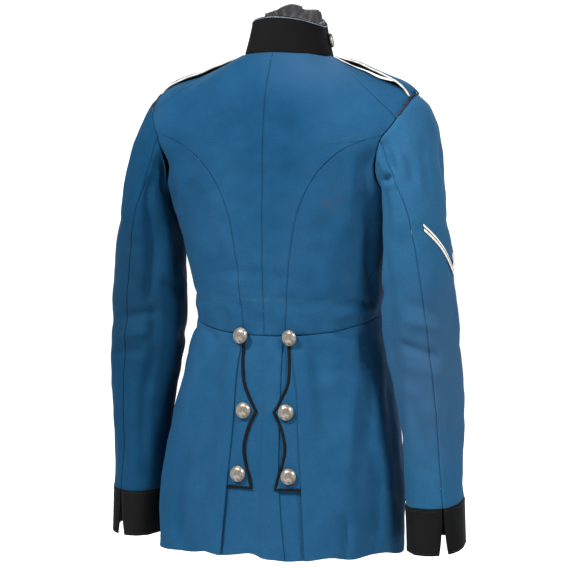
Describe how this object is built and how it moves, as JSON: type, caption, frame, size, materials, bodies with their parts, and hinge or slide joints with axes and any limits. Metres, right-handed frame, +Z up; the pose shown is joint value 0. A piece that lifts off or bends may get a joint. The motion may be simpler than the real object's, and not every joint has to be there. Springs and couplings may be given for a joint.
{
  "type": "military tunic",
  "caption": "Blue wool military tunic, filled out and hollow, with black stand collar and cuffs, piped skirt flaps and silver buttons.",
  "frame": {"origin": "centre of the neck opening at the neck seam, where the wearer holds the tunic up", "axes": "+Z up towards the collar, +Y towards the back, +X towards the wearer's left"},
  "size_m": [0.5252, 0.2538, 0.7585],
  "materials": {
    "blue_wool": "dense fulled wool cloth with a short nap, cornflower blue, slightly worn",
    "black_wool": "black wool cloth with a short nap",
    "dark_lining": "dark grey glazed cotton lining",
    "white_piping": "white wool piping, slightly yellowed",
    "white_braid": "cream white woven braid with a thin dark brown middle stripe",
    "silver_metal": "white metal, worn dull with a brown tint on the domes"
  },
  "bodies": {
    "root": {"back_button_left_1": "silver_metal", "back_button_left_2": "silver_metal", "back_button_left_3": "silver_metal", "back_button_right_1": "silver_metal", "back_button_right_2": "silver_metal", "back_button_right_3": "silver_metal", "back_left": "blue_wool", "back_right": "blue_wool", "chevron": "white_braid", "collar": "black_wool", "collar_disc_left": "silver_metal", "collar_disc_right": "silver_metal", "collar_lining": "dark_lining", "cuff_left": "black_wool", "cuff_right": "black_wool", "flap_left": "blue_wool", "flap_piping_left": "black_wool", "flap_piping_right": "black_wool", "flap_right": "blue_wool", "front_button_1": "silver_metal", "front_button_2": "silver_metal", "front_button_3": "silver_metal", "front_button_4": "silver_metal", "front_button_5": "silver_metal", "front_button_6": "silver_metal", "front_button_7": "silver_metal", "front_button_8": "silver_metal", "front_left": "blue_wool", "front_right": "blue_wool", "shoulder_strap_left": "blue_wool", "shoulder_strap_right": "blue_wool", "side_back_left": "blue_wool", "side_back_right": "blue_wool", "skirt_back_left": "blue_wool", "skirt_back_right": "blue_wool", "skirt_left": "blue_wool", "skirt_right": "blue_wool", "sleeve_top_left": "blue_wool", "sleeve_top_right": "blue_wool", "sleeve_under_left": "blue_wool", "sleeve_under_right": "blue_wool", "strap_piping_left": "white_piping", "strap_piping_right": "white_piping"}
  },
  "joints": []
}
